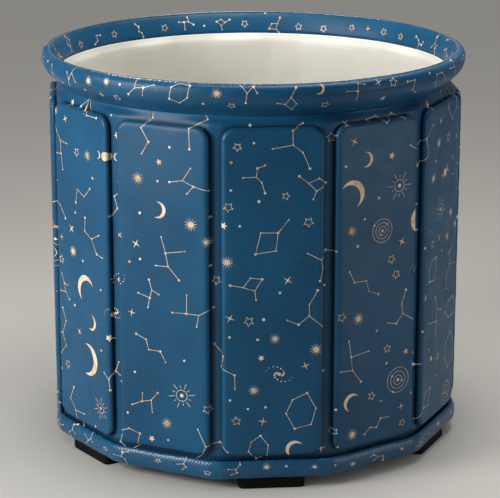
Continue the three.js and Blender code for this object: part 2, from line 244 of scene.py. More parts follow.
# How much darker the cloth is painted in its creases: painted shade
PAINTED_CREASE_SHADE = 0.62
SMUDGE_FINENESS = 5.5
DENT_FINENESS = 2.6
WALL_ROUND = 0.345
PANELS = 12
PITCH = math.tau / PANELS
FABRIC = 0.0016
STRIP = 0.020
CORNER_SOFTNESS = 0.0012
SHEET_FLAT = 0.3387
SHEET_CORNER = SHEET_FLAT / math.cos(PITCH / 2) - STRIP / 2 * math.tan(PITCH / 2)
SHEET_LOW = 0.0209
PAD_LOW = 0.058
PAD_HIGH = 0.608
PAD_MIDDLE = (PAD_LOW + PAD_HIGH) / 2
PAD_HALF_HEIGHT = (PAD_HIGH - PAD_LOW) / 2
PAD_HALF = 0.0819
PAD_CORNER = 0.021
PAD_ARC_TO_WIDTH = 1.012
# How far the painted shade reaches out from the pads' welds, and where it fades out above the base roll
WELD_SHADE_REACH = 0.0032
ROLL_SEAM_SHADE_TOP = 0.060
ROLL_SEAM_SHADE_REACH = 0.005
NECK_LOW = PAD_HIGH + 0.002
NECK_TOP = 0.625
NECK_RADIUS = 0.3355
DRAIN_HEIGHT = 0.114
DRAIN_HOLE = 0.0165
SHEET_OPENING = 0.030
SHEET_STATIONS = PANELS * 56
FOOT_ROWS = 12
CORNER_ROWS = 6
STRAIGHT_ROWS = 28
NECK_ROWS = 9


def effect(name, inputs, outputs):
    """A shader node group with named sockets: the group, its Nodes, and the sockets at its two ends."""
    tree = bpy.data.node_groups.new(name, "ShaderNodeTree")
    for label, kind, value in inputs:
        socket = tree.interface.new_socket(label, in_out="INPUT", socket_type="NodeSocket" + kind)
        if value is not None:
            socket.default_value = value
    for label in outputs:
        tree.interface.new_socket(label, in_out="OUTPUT", socket_type="NodeSocketFloat")
    start = tree.nodes.new("NodeGroupInput")
    end = tree.nodes.new("NodeGroupOutput")
    return tree, Nodes(tree), start.outputs, end.inputs


def twill_weave():
    """Height of a diagonal twill that rises to the right over the cloth map, and the shade painted on it:
    darker grooves, lighter ridges.
    """
    tree, n, start, end = effect("twill_weave", [("Cloth", "Vector", None)], ["Height", "Shade"])
    split = tree.nodes.new("ShaderNodeSeparateXYZ")
    n.put(split.inputs[0], start["Cloth"])
    drift = n.add("TexNoise", Vector=start["Cloth"], Scale=9.0, Detail=2.0)
    across = n.math("SUBTRACT", split.outputs[0], split.outputs[1])
    across = n.math("MULTIPLY_ADD", across, math.sqrt(0.5), n.math("MULTIPLY", drift, TWILL_PITCH))
    ridge = n.math("SINE", n.math("MULTIPLY", n.math("DIVIDE", across, TWILL_PITCH), math.tau))
    ridge = n.math("MULTIPLY_ADD", ridge, 0.5, 0.5)
    along = n.math("ADD", split.outputs[0], split.outputs[1])
    knots = n.math("SINE", n.math("MULTIPLY", n.math("DIVIDE", along, THREAD_PITCH), math.tau))
    ridge_height = n.math("MULTIPLY", ridge, RIDGE_HEIGHT)
    n.put(end["Height"], n.math("MULTIPLY_ADD", knots, KNOT_HEIGHT, ridge_height))
    n.put(end["Shade"], n.math("MULTIPLY_ADD", ridge, WEAVE_RIDGE_LIGHT, WEAVE_GROOVE_SHADE))
    return tree


def surface_wear():
    """Slow changes over a surface: faded patches, rubbed smudges and soft dents."""
    inputs = [("Place", "Vector", None), ("Size", "Float", 6.0)]
    tree, n, start, end = effect("surface_wear", inputs, ["Fade", "Smudge", "Dents"])
    place, size = start["Place"], start["Size"]
    smudge_size = n.math("MULTIPLY", size, SMUDGE_FINENESS)
    dent_size = n.math("MULTIPLY", size, DENT_FINENESS)
    fade = n.add("TexNoise", Vector=place, Scale=size, Detail=3.0, Roughness=0.55)
    smudge = n.add("TexNoise", Vector=place, Scale=smudge_size, Detail=4.0, Roughness=0.6)
    n.put(end["Fade"], n.between(fade, 0.3, 0.7))
    n.put(end["Smudge"], n.between(smudge, 0.35, 0.7))
    n.put(end["Dents"], n.add("TexNoise", Vector=place, Scale=dent_size, Detail=1.0))
    return tree


TWILL = twill_weave()
WEAR = surface_wear()


def cloth_material(name, light, deep, roughness, gloss=CLOTH_GLOSS, coat=0.0):
    """Coated twill in two shades of one colour, with its weave, soft dents, rubbed sheen and painted shade.
    """

    def build(n):
        # The weave's shade is painted shade: darker in its grooves and lighter on its ridges
        weaving = n.group(TWILL, Cloth=n.add("UVMap", 0, {"uv_map": "cloth"}))
        wear = n.group(WEAR, Place=n.add("TexCoord", "Object"))
        # Painted shade: the colour is darkened where the crease marks lie, along welds and seams
        crease = n.add("Attribute", "Fac", {"attribute_name": "crease"})
        crease_light = n.math("MULTIPLY_ADD", crease, -PAINTED_CREASE_SHADE, 1.0)
        tone = n.math("MULTIPLY", weaving["Shade"], crease_light)
        shade = n.add("CombineColor", 0, (), (tone, tone, tone))
        dent = n.add("Bump", Height=wear["Dents"], Distance=CLOTH_DENT, Strength=0.7)
        weave = weaving["Height"]
        return {
            "Base Color": n.mix(1, n.mix(wear["Fade"], light, deep), shade, "MULTIPLY"),
            "Roughness": n.math("MULTIPLY_ADD", wear["Smudge"], 0.14, roughness - 0.05),
            "Normal": n.add("Bump", Height=weave, Distance=WEAVE_DEPTH, Strength=0.8, Normal=dent),
            "Specular IOR Level": gloss,
            "Coat Weight": coat,
            "Coat Roughness": 0.12,
            "Sheen Weight": 0.05,
            "Sheen Roughness": 0.35,
            "Sheen Tint": CLOTH_SHEEN,
        }

    return new_material(name, build)


CLOTH = cloth_material("printed_twill", CLOTH_BLUE, CLOTH_DEEP, CLOTH_ROUGHNESS)


def turn_of(at):
    """A point's turn round the tub's axis, from the front, and positive to the right."""
    return math.atan2(at.x, -at.y)


def at_turn(turn, radius, height):
    return Vector((radius * math.sin(turn), -radius * math.cos(turn), height))


def off_middle(turn):
    """The turn from the middle of the nearest panel."""
    return (turn + PITCH / 2) % PITCH - PITCH / 2


def lay_cloth(piece, height_of=lambda at: at.z):
    """Writes the cloth map, in metres: round the tub, and up the surface."""
    mesh = piece.data
    cloth = mesh.uv_layers.new(name="cloth")
    for face in mesh.polygons:
        middle = turn_of(face.center)
        for corner in face.loop_indices:
            at = mesh.vertices[mesh.loops[corner].vertex_index].co
            turn = turn_of(at) - middle
            turn -= round(turn / math.tau) * math.tau
            cloth.data[corner].uv = ((middle + turn) * WALL_ROUND, height_of(at))


def mark_crease_shade(piece, depth_at):
    """Writes how deep in a fold or seam each point lies, from 0 to 1: the share of painted shade the cloth
    gets there.
    """
    crease = piece.data.attributes.new("crease", "FLOAT", "POINT")
    for vertex, value in zip(piece.data.vertices, crease.data):
        value.value = min(max(depth_at(vertex.co), 0), 1)


def thicken(piece):
    """Gives a sheet the cloth's thickness, half to each side."""
    thick = piece.modifiers.new("thickness", "SOLIDIFY")
    thick.thickness = FABRIC
    thick.offset = 0


def soften(value, edge, width):
    """0 below the edge and 1 above it, changing smoothly over the width."""
    share = min(max((value - edge) / width + 0.5, 0), 1)
    return share * share * (3 - 2 * share)


def wall_radius(turn, flat, corner):
    """How far out the wall's twelve-sided outline is at that turn, cut across at each corner."""
    off = off_middle(turn)
    face = flat / math.cos(off)
    cut = corner / math.cos(PITCH / 2 - abs(off))
    both = max(CORNER_SOFTNESS - abs(face - cut), 0) / CORNER_SOFTNESS
    return min(face, cut) - both * both * CORNER_SOFTNESS / 4


def ripple(at, scale, seed=0.0):
    return noise.noise(Vector((at[0] * scale + seed, at[1] * scale, at[2] * scale)))


def ripple_round(turn, scale, seed):
    """A ripple that changes round the tub and closes on itself."""
    return ripple((math.sin(turn), math.cos(turn), 0), scale, seed)


def rotate_about_axis(bm, verts, turn):
    bmesh.ops.rotate(bm, cent=(0, 0, 0), matrix=Matrix.Rotation(turn, 3, "Z"), verts=verts)


def extruded(bm, edges):
    """Extrudes the edges; gives the new edges and the new points, which are still in the old place."""
    made = bmesh.ops.extrude_edge_only(bm, edges=edges)["geom"]
    new_edges = [e for e in made if isinstance(e, bmesh.types.BMEdge)]
    new_verts = [v for v in made if isinstance(v, bmesh.types.BMVert)]
    return new_edges, new_verts


def open_edges(verts):
    """The edges at those points that have a face on one side only."""
    return list(dict.fromkeys(e for v in verts for e in v.link_edges if e.is_boundary))


def bare_tube(stations, levels):
    """An open tube of upright faces with a ring of points for each level; gives its bmesh and its rings."""
    bm = bmesh.new()
    rings = [bmesh.ops.create_circle(bm, segments=stations, radius=1)["verts"]]
    edges = list(bm.edges)
    for _ in levels[1:]:
        edges, ring = extruded(bm, edges)
        rings.append(ring)
    return bm, rings


def put_round_drain(verts, radius, out):
    """Puts the points on a circle round the drain, each at its own turn."""
    for v in verts:
        turn = math.atan2(v.co.z - DRAIN_HEIGHT, v.co.x)
        v.co = (radius * math.cos(turn), out, DRAIN_HEIGHT + radius * math.sin(turn))


def open_hole(bm, clear, radius, out):
    """Opens a round hole in the back of a sheet round the drain, with its edge at that distance out."""
    centre = Vector((0, out, DRAIN_HEIGHT))
    near = [f for f in bm.faces if (f.calc_center_median() - centre).length < clear]
    cleared = set(near)
    for v in bm.verts:
        v.tag = any(f in cleared for f in v.link_faces)
    bmesh.ops.delete(bm, geom=near, context="FACES")
    edge = [e for e in bm.edges if e.is_boundary and all(v.tag for v in e.verts)]
    ring = extruded(bm, edge)[1]
    put_round_drain(ring, radius, out)
    bmesh.ops.recalc_face_normals(bm, faces=bm.faces)
    return ring


def beyond_pad(at):
    """How far outside the nearest pad's outline a point of the wall is, along the wall."""
    x = abs(off_middle(turn_of(at))) * SHEET_FLAT * PAD_ARC_TO_WIDTH
    z = abs(at.z - PAD_MIDDLE)
    a = x - (PAD_HALF - PAD_CORNER)
    b = z - (PAD_HALF_HEIGHT - PAD_CORNER)
    return (math.hypot(a, b) if min(a, b) > 0 else max(a, b)) - PAD_CORNER


def wall_crease_shade(at):
    """Painted shade: deep along the pads' welded edges and in the seam above the base roll."""
    by_pad = math.exp(-max(beyond_pad(at), 0) / WELD_SHADE_REACH)
    return max(by_pad, min(1, (ROLL_SEAM_SHADE_TOP - at.z) / ROLL_SEAM_SHADE_REACH))


def wall_levels():
    """Heights of the sheet's rings, closer together where it bends."""
    straight = PAD_HIGH - PAD_LOW - 2 * PAD_CORNER
    levels = [SHEET_LOW + (PAD_LOW - SHEET_LOW) * s / FOOT_ROWS for s in range(FOOT_ROWS)]
    levels += [PAD_LOW + PAD_CORNER * s / CORNER_ROWS for s in range(CORNER_ROWS)]
    levels += [PAD_LOW + PAD_CORNER + straight * s / STRAIGHT_ROWS for s in range(STRAIGHT_ROWS)]
    levels += [PAD_HIGH - PAD_CORNER + PAD_CORNER * s / CORNER_ROWS for s in range(CORNER_ROWS + 1)]
    levels += [PAD_HIGH + (NECK_TOP - PAD_HIGH) * s / NECK_ROWS for s in range(1, NECK_ROWS + 1)]
    return levels


def wall_sheet():
    levels = wall_levels()
    bm, rings = bare_tube(SHEET_STATIONS, levels)
    for level, verts in zip(levels, rings):
        drawn = soften(level, (NECK_LOW + NECK_TOP) / 2, NECK_TOP - NECK_LOW)
        for v in verts:
            turn = turn_of(v.co)
            wall = wall_radius(turn, SHEET_FLAT, SHEET_CORNER) - FABRIC / 2
            radius = wall + (NECK_RADIUS - FABRIC / 2 - wall) * drawn
            v.co = at_turn(turn, radius, level)
    open_hole(bm, SHEET_OPENING, DRAIN_HOLE, SHEET_FLAT - FABRIC / 2)
    piece = put_in_scene(bm, "wall_sheet")
    lay_cloth(piece)
    # Painted shade along the pads' welded edges and above the base roll
    mark_crease_shade(piece, wall_crease_shade)
    thicken(piece)
    piece.data.materials.append(CLOTH)
    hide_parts("outer_skin")
    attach(piece, "tub")
    return piece


sheet = wall_sheet()

# The wall pads: twelve raised cushions, each a foam board in a pocket of the printed cloth. The cloth is
# welded down all round, so the edge rolls over tightly and the face swells a little. The one at the back
# has a round recess for the drain.
DRAIN_PANEL = PANELS // 2
PAD_BACK = SHEET_FLAT + 0.0001
PAD_FACE = 0.350
PAD_RISE = PAD_FACE - PAD_BACK
PAD_CROWN = 0.0014
PAD_ROLL = 0.0082
PAD_TUCK = 0.0011
# How far the painted shade reaches out from the pad's back, up its side
PAD_EDGE_SHADE_REACH = 0.0065
WELD_STEP = 0.42
ROLL_SHARE = 0.58
ROLL_FACE_POWER = 2.4
ROLL_SIDE_POWER = 1.9
PULL_DEPTH = 0.0007
PULL_REACH = 0.010
PULL_EDGE = 0.002
PULL_FINENESS = 75
SWELL_DEPTH = 0.0011
SWELL_EDGE = 0.02
SWELL_FINENESS = 16
SWELL_LENGTHENING = 0.45
RECESS_RADIUS = 0.032
RECESS_OPENING = 0.044
RECESS_INSETS = [0.0040, 0.0024, 0.0012, 0.0004, 0]
CELL_ACROSS = 0.0058
CELL_UP = 0.0075
EDGE_STEPS = [0, 0.0004, 0.0011, 0.0021, 0.0034, 0.0056, 0.0090, 0.0130, 0.0170, 0.0210]

# The pad's side below its face: how much wider it is there, and the share of its rise
SIDE_STEPS = [(0.0, 0.2), (-PAD_TUCK, 0.0)]


def spaced(half, cell):
    """Places from -half to half, close together near both ends."""
    inner = half - EDGE_STEPS[-1]
    count = round(2 * inner / cell)
    low = [-half + s for s in EDGE_STEPS]
    middle = [-inner + 2 * inner * s / count for s in range(1, count)]
    return low + middle + [-p for p in reversed(low)]


def edge_rise(inset):
    """Share of the pad's rise at that distance in from its edge."""
    share = min(inset / PAD_ROLL, 1)
    return WELD_STEP + ROLL_SHARE * (1 - (1 - share) ** ROLL_FACE_POWER) ** (1 / ROLL_SIDE_POWER)


def pad_face(x, z, inset, k):
    """How far out the pad's cloth is there, swollen by the foam and drawn into shallow pulls by the weld."""
    swell = (1 - (x / PAD_HALF) ** 2) * (1 - (z / PAD_HALF_HEIGHT) ** 6)
    out = PAD_BACK + PAD_RISE * edge_rise(inset) + PAD_CROWN * max(swell, 0)
    near = math.exp(-inset / PULL_REACH) * min(inset / PULL_EDGE, 1)
    pull = ripple((x, z, k), PULL_FINENESS, 3.1 + k * 7) * PULL_DEPTH * near
    broad = ripple((x, z * SWELL_LENGTHENING, k), SWELL_FINENESS, k * 5.3) * SWELL_DEPTH
    broad *= min(inset / SWELL_EDGE, 1)
    return out + pull + broad


def round_corner(x, z):
    """Moves a point of a square pad so that the pad's corners become round."""
    a = (abs(x) - (PAD_HALF - PAD_CORNER)) / PAD_CORNER
    b = (abs(z) - (PAD_HALF_HEIGHT - PAD_CORNER)) / PAD_CORNER
    if min(a, b) <= 0:
        return x, z
    turn = math.pi / 4 * b / a if a >= b else math.pi / 2 - math.pi / 4 * a / b
    reach = max(a, b) * PAD_CORNER
    x = math.copysign(PAD_HALF - PAD_CORNER + reach * math.cos(turn), x)
    z = math.copysign(PAD_HALF_HEIGHT - PAD_CORNER + reach * math.sin(turn), z)
    return x, z


def sink_recess(bm):
    """Opens a round recess in the pad at the drain, with a side that rolls down to the wall."""
    ring = open_hole(bm, RECESS_OPENING, RECESS_RADIUS + PAD_ROLL, PAD_FACE + PAD_CROWN / 2)
    edges = open_edges(ring)
    steps = [(inset, edge_rise(inset)) for inset in RECESS_INSETS] + [(0, 0)]
    for inset, rise in steps:
        edges, ring = extruded(bm, edges)
        put_round_drain(ring, RECESS_RADIUS + inset, PAD_BACK + PAD_RISE * rise)


def wall_pad(k):
    columns = spaced(PAD_HALF, CELL_ACROSS)
    rows = spaced(PAD_HALF_HEIGHT, CELL_UP)
    bm = bmesh.new()
    bmesh.ops.create_grid(bm, x_segments=len(columns) - 1, y_segments=len(rows) - 1, size=1)
    for v in bm.verts:
        x = columns[round((v.co.x + 1) / 2 * (len(columns) - 1))]
        z = rows[round((v.co.y + 1) / 2 * (len(rows) - 1))]
        inset = min(PAD_HALF - abs(x), PAD_HALF_HEIGHT - abs(z))
        x, z = round_corner(x, z)
        v.co = (x, -pad_face(x, z, inset, k), z + PAD_MIDDLE)
    rim = [e for e in bm.edges if e.is_boundary]
    for wider, share in SIDE_STEPS:
        rim, verts = extruded(bm, rim)
        for v in verts:
            z = v.co.z - PAD_MIDDLE
            v.co.x *= 1 + wider / PAD_HALF
            v.co.y = -(PAD_BACK + PAD_RISE * share)
            v.co.z = z * (1 + wider / PAD_HALF_HEIGHT) + PAD_MIDDLE
    rotate_about_axis(bm, bm.verts, k * PITCH)
    if k == DRAIN_PANEL:
        sink_recess(bm)
        rim = [e for e in bm.edges if e.is_boundary]
    bmesh.ops.triangle_fill(bm, edges=rim, use_beauty=True)
    bmesh.ops.recalc_face_normals(bm, faces=bm.faces)
    piece = put_in_scene(bm, f"wall_pad_{k + 1:02d}")
    lay_cloth(piece)
    middle = at_turn(k * PITCH, 1, 0)
    # Painted shade on the pad's side, darkest where it meets the sheet
    mark_crease_shade(piece, lambda at: 1 - (at.dot(middle) - PAD_BACK) / PAD_EDGE_SHADE_REACH)
    piece.data.materials.append(CLOTH)
    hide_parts(f"foam_board_{k + 1:02d}")
    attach(piece, "tub")
    return piece


pads = [wall_pad(k) for k in range(PANELS)]

# The support rods: twelve straight plastic bars that hold the wall upright. Each slides down into the sleeve
# at a corner, between the outer cloth and the liner, and stands on the base sheet.
ROD_GREY = (0.58, 0.60, 0.62, 1)
ROD_ROUGHNESS = 0.42
MOULDED_WEAR_SIZE = 14.0
PORE_FINENESS = 900.0
PORE_DEPTH = 0.00008


def moulded(name, colour, roughness, gloss=0.5):
    """Moulded plastic or rubber with a fine grain and rubbed spots."""

    def build(n):
        place = n.add("TexCoord", "Object")
        wear = n.group(WEAR, Place=place, Size=MOULDED_WEAR_SIZE)
        worn = [min(c * 1.25 + 0.002, 1) for c in colour[:3]] + [1]
        pores = n.add("TexNoise", Vector=place, Scale=PORE_FINENESS, Detail=2.0)
        return {
            "Base Color": n.mix(n.math("MULTIPLY", wear["Smudge"], 0.5), colour, worn),
            "Roughness": n.math("MULTIPLY_ADD", wear["Smudge"], 0.15, roughness - 0.06),
            "Normal": n.add("Bump", Height=pores, Distance=PORE_DEPTH, Strength=0.6),
            "Specular IOR Level": gloss,
        }

    return new_material(name, build)


def dress(names, material):
    """Puts the material on those CAD pieces."""
    for name in names:
        slots = nodes[name].data.materials
        slots.clear()
        slots.append(material)


rods = [f"support_rod_{k + 1:02d}" for k in range(PANELS)]
dress(rods, moulded("rod_plastic_grey", ROD_GREY, ROD_ROUGHNESS))

# The base: a disc of foam under the bath floor on a heavy black base sheet, which carries the sleeves'
# mouths and is sewn to the wall and the base roll at its edge.
BASE_BLACK = (0.018, 0.020, 0.024, 1)
BASE_FADED = (0.030, 0.032, 0.037, 1)
BASE_THREADS = 420.0
BASE_WEAVE_DEPTH = 0.0002
FOAM_WHITE = (0.80, 0.81, 0.82, 1)
FOAM_DULL = (0.72, 0.73, 0.74, 1)
FOAM_CELLS = 650.0
FOAM_CELL_DEPTH = 0.0003
CUSHION_FLAT = 0.3278
CUSHION_CORNER = 0.3314
CUSHION_ROUND = 0.004
CUSHION_DENT = 0.0005
CUSHION_DENT_FINENESS = 9
CUSHION_STATIONS = PANELS * 10
CUSHION_SHARES = (0.92, 0.8, 0.65, 0.5, 0.34, 0.18, 0)
SAME_POINT = 0.00005


def base_weave(n):
    """Black coated base cloth with a coarse plain weave."""
    place = n.add("TexCoord", "Object")
    wear = n.group(WEAR, Place=place)
    threads = []
    for way in "XY":
        bands = {"bands_direction": way}
        threads.append(n.add("TexWave", 0, bands, Vector=place, Scale=BASE_THREADS, Distortion=0.3))
    weave = n.math("MULTIPLY", *threads)
    return {
        "Base Color": n.mix(wear["Fade"], BASE_BLACK, BASE_FADED),
        "Roughness": n.math("MULTIPLY_ADD", wear["Smudge"], 0.2, 0.55),
        "Normal": n.add("Bump", Height=weave, Distance=BASE_WEAVE_DEPTH),
    }


def white_foam(n):
    """White closed-cell foam with fine pores."""
    place = n.add("TexCoord", "Object")
    cells = n.add("TexVoronoi", Vector=place, Scale=FOAM_CELLS)
    wear = n.group(WEAR, Place=place)
    return {
        "Base Color": n.mix(wear["Fade"], FOAM_WHITE, FOAM_DULL),
        "Roughness": n.math("MULTIPLY_ADD", cells, 0.1, 0.75),
        "Normal": n.add("Bump", Height=cells, Distance=FOAM_CELL_DEPTH),
    }


def close_disc(bm, ring, shares, flat, corner, height_at):
    """Fills the ring to the axis with smaller twelve-sided rings, each point at its own height."""
    edges = open_edges(ring)
    for share in shares:
        edges, verts = extruded(bm, edges)
        for v in verts:
            turn = turn_of(v.co)
            v.co = at_turn(turn, wall_radius(turn, flat, corner) * share, height_at(v.co))


def floor_cushion():
    """A soft twelve-sided disc in the floor foam's place, rounded at its two edges and lightly dented."""
    floor_low, floor_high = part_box("floor_foam")
    low, high = floor_low.z, floor_high.z
    levels = [low, low + CUSHION_ROUND, high - CUSHION_ROUND, high]
    insets = [CUSHION_ROUND, 0, 0, CUSHION_ROUND]
    bm, rings = bare_tube(CUSHION_STATIONS, levels)
    for level, inset, verts in zip(levels, insets, rings):
        for v in verts:
            turn = turn_of(v.co)
            v.co = at_turn(turn, wall_radius(turn, CUSHION_FLAT - inset, CUSHION_CORNER - inset), level)

    def dented(at):
        dent = (ripple((at.x, at.y, 0), CUSHION_DENT_FINENESS) - 0.5) * CUSHION_DENT
        return high + min(dent, 0)

    for ring, height_at in ((rings[0], lambda at: low), (rings[-1], dented)):
        close_disc(bm, ring, CUSHION_SHARES, CUSHION_FLAT, CUSHION_CORNER, height_at)
    bmesh.ops.remove_doubles(bm, verts=bm.verts, dist=SAME_POINT)
    bmesh.ops.recalc_face_normals(bm, faces=bm.faces)
    piece = put_in_scene(bm, "floor_cushion")
    piece.data.materials.append(new_material("white_foam", white_foam))
    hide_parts("floor_foam")
    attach(piece, "tub")


floor_cushion()
dress(["base_sheet"], new_material("base_weave_black", base_weave))

# The inner liner: the cream film bag that holds the water. It hangs from the collar's inner band, lies flat
# against the foam boards, and is welded to its own floor; it is a little loose, so it creases softly.
FILM_CREAM = (0.76, 0.745, 0.685, 1)
FILM_DULL = (0.72, 0.705, 0.65, 1)
FILM_WEAR_SIZE = 4.0
FILM_DENT = 0.003
LEATHER_FINENESS = 380.0
LEATHER_DEPTH = 0.00012
LINER_FLAT = 0.3270
LINER_CORNER = 0.3306
LINER_FLOOR = 0.0420
LINER_WALL_LOW = 0.056
LINER_FLARE = 0.626
LINER_TOP = 0.6403
LINER_RIM = 0.3357
LINER_FLOOR_SHARES = (0.93, 0.83, 0.7, 0.56, 0.42, 0.28, 0.14, 0)
LINER_OPENING = 0.024
LINER_STATIONS = PANELS * 24
LINER_ROWS = 60
FLARE_ROWS = 6

# Where the film goes from taut to loose, and over what width: above the floor, below the flare and
# away from the drain
LOOSE_ABOVE = (0.08, 0.06)
TAUT_ABOVE = (LINER_FLARE, 0.03)
LOOSE_BEYOND = (0.055, 0.04)

# The turn from floor to wall: how high each ring is above the floor, and how far in from the wall
LINER_FOOT = [(0, 0.006), (0.001, 0.0029), (0.003, 0.0008), (0.006, 0)]

# The loose film's creases: how much they're drawn out upwards, their fineness, seed and depth
LINER_CREASES = [(0.35, 13, 4.0, 0.0028), (0.8, 31, 9.0, 0.0010)]


def cream_film(n):
    """Cream coated film with a faint leather grain and a soft gloss."""
    place = n.add("TexCoord", "Object")
    wear = n.group(WEAR, Place=place, Size=FILM_WEAR_SIZE)
    grain = n.add("TexVoronoi", 0, {"feature": "SMOOTH_F1"}, Vector=place, Scale=LEATHER_FINENESS)
    dent = n.add("Bump", Height=wear["Dents"], Distance=FILM_DENT, Strength=0.6)
    return {
        "Base Color": n.mix(wear["Fade"], FILM_CREAM, FILM_DULL),
        "Roughness": n.math("MULTIPLY_ADD", wear["Smudge"], 0.12, 0.38),
        "Normal": n.add("Bump", Height=grain, Distance=LEATHER_DEPTH, Strength=0.5, Normal=dent),
    }


def liner_steps():
    """Each ring's height, and how far in from the wall it lies."""
    steps = [(LINER_FLOOR + up, inset) for up, inset in LINER_FOOT]
    wall, flare = LINER_FLARE - LINER_WALL_LOW, LINER_TOP - LINER_FLARE
    steps += [(LINER_WALL_LOW + wall * s / LINER_ROWS, 0) for s in range(LINER_ROWS + 1)]
    steps += [(LINER_FLARE + flare * s / FLARE_ROWS, 0) for s in range(1, FLARE_ROWS + 1)]
    return steps


def liner_slack(turn, wall, level):
    """How far the film stands in from the wall there; it is taut at the floor, the rim and the drain."""
    at = at_turn(turn, wall, level)
    slack = 0
    for drawn_out, fineness, seed, depth in LINER_CREASES:
        slack += abs(ripple((at.x, at.y, at.z * drawn_out), fineness, seed)) * depth
    free = soften(level, *LOOSE_ABOVE) * (1 - soften(level, *TAUT_ABOVE))
    to_drain = min(abs(turn - math.pi), abs(turn + math.pi)) * wall
    clear = soften(math.hypot(to_drain, level - DRAIN_HEIGHT), *LOOSE_BEYOND)
    return slack * free * clear


def bath_liner():
    steps = liner_steps()
    bm, rings = bare_tube(LINER_STATIONS, [level for level, inset in steps])
    for (level, inset), verts in zip(steps, rings):
        drawn = soften(level, (LINER_FLARE + LINER_TOP) / 2, LINER_TOP - LINER_FLARE)
        for v in verts:
            turn = turn_of(v.co)
            wall = wall_radius(turn, LINER_FLAT - inset, LINER_CORNER - inset)
            radius = wall - liner_slack(turn, wall, level) + (LINER_RIM - wall) * drawn
            v.co = at_turn(turn, radius, level)
    close_disc(bm, rings[0], LINER_FLOOR_SHARES, LINER_FLAT, LINER_CORNER, lambda at: LINER_FLOOR)
    bmesh.ops.remove_doubles(bm, verts=bm.verts, dist=SAME_POINT)
    open_hole(bm, LINER_OPENING, DRAIN_HOLE, LINER_FLAT)
    piece = put_in_scene(bm, "bath_liner")
    thicken(piece)
    piece.data.materials.append(new_material("cream_film", cream_film))
    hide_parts("inner_liner")
    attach(piece, "tub")


bath_liner()

# The collar: a stuffed ring round the rim, of the printed cloth over a foam core. One seam joins it to the
# wall at the neck; the other gathers its crest to the flat band inside, where the cloth puckers.
COLLAR_LOW = 0.6253
COLLAR_TOP = 0.6775
COLLAR_OUT = 0.363
COLLAR_WIDEST = COLLAR_LOW + (COLLAR_TOP - COLLAR_LOW) * 0.7
COLLAR_STEPS = 720
COLLAR_UNEVENNESS = 0.0012
CREST_RADIUS = 0.3522
SEAM_RADIUS = 0.3500
SEAM_HEIGHT = 0.6766
BAND_RADIUS = 0.3365
BAND_LOW = 0.6406
PUCKERS = 210
PUCKER_DEPTH = 0.0014
PUCKER_REACH = 0.0075
PUCKER_EDGE = 0.0015
PUCKER_LIFT = 0.7
GATHERS = 150
GATHER_DEPTH = 0.0007
GATHER_REACH = 0.009
GATHER_EDGE = 0.002
UNEVEN_EDGE = 0.01
UNEVEN_FINENESS = 17


def bezier(a, b, c, d, count):
    """Points along a curve after its first one."""
    points = []
    for s in range(1, count + 1):
        t = s / count
        u = 1 - t
        weights = (u**3, 3 * u * u * t, 3 * u * t * t, t**3)
        points.append(tuple(sum(w * p for w, p in zip(weights, along)) for along in zip(a, b, c, d)))
    return points


def collar_section():
    """The stuffed collar's outline as (radius, height), from the neck over the crest to the band's foot."""
    low, top, wide = COLLAR_LOW, COLLAR_TOP, COLLAR_WIDEST
    shoulder = (COLLAR_OUT, wide + (top - wide) * 0.75)
    seam = (SEAM_RADIUS, SEAM_HEIGHT)
    foot = (BAND_RADIUS, BAND_LOW)
    # Each curve's two handles, its end and its number of points
    curves = [
        ((NECK_RADIUS + 0.0025, low + 0.008), (COLLAR_OUT, wide - 0.018), (COLLAR_OUT, wide), 18),
        (shoulder, (CREST_RADIUS + 0.0075, top), (CREST_RADIUS, top), 12),
        ((CREST_RADIUS - 0.001, top), (SEAM_RADIUS + 0.0004, SEAM_HEIGHT + 0.0008), seam, 6),
        ((SEAM_RADIUS - 0.003, SEAM_HEIGHT), (BAND_RADIUS + 0.005, SEAM_HEIGHT - 0.009), foot, 14),
    ]
    line = [(NECK_RADIUS, low)]
    for near, far, end, count in curves:
        line += bezier(line[-1], near, far, end, count)
    return line


def spin_outline(bm, steps):
    """Turns the outline in the bmesh once round the tub's axis."""
    outline = list(bm.verts) + list(bm.edges)
    axis = {"cent": (0, 0, 0), "axis": (0, 0, 1)}
    bmesh.ops.spin(bm, geom=outline, angle=math.tau, steps=steps, use_merge=True, **axis)
    bmesh.ops.recalc_face_normals(bm, faces=bm.faces)


def pucker_wave(turn):
    return math.sin(turn * PUCKERS + 2.6 * math.sin(turn * 17) + 1.7 * math.sin(turn * 41 + 1))


def collar_shift(at):
    """How far the cloth stands out, in puckers at the crest, gathers at the neck and unevenly between."""
    turn = turn_of(at)
    radius = math.hypot(at.x, at.y)
    to_seam = math.hypot(radius - SEAM_RADIUS, at.z - SEAM_HEIGHT)
    to_neck = math.hypot(radius - NECK_RADIUS, at.z - COLLAR_LOW)
    depth = 0.5 + 0.5 * ripple_round(turn, 14, 2.0)
    pucker = pucker_wave(turn) * PUCKER_DEPTH * depth
    pucker *= math.exp(-(to_seam / PUCKER_REACH) ** 1.4)
    pucker *= min(to_seam / PUCKER_EDGE, 1)
    gather = math.sin(turn * GATHERS + 3 * math.sin(turn * 23)) * GATHER_DEPTH * depth
    gather *= math.exp(-(to_neck / GATHER_REACH) ** 1.5)
    gather *= min(to_neck / GATHER_EDGE, 1)
    outside = 1 if radius > NECK_RADIUS + 0.001 else 0
    uneven = ripple(at, UNEVEN_FINENESS, 6.0) * COLLAR_UNEVENNESS * outside
    uneven *= min(to_seam, to_neck, UNEVEN_EDGE)
    uneven /= UNEVEN_EDGE
    return pucker + gather + uneven


OUTLINE = collar_section()


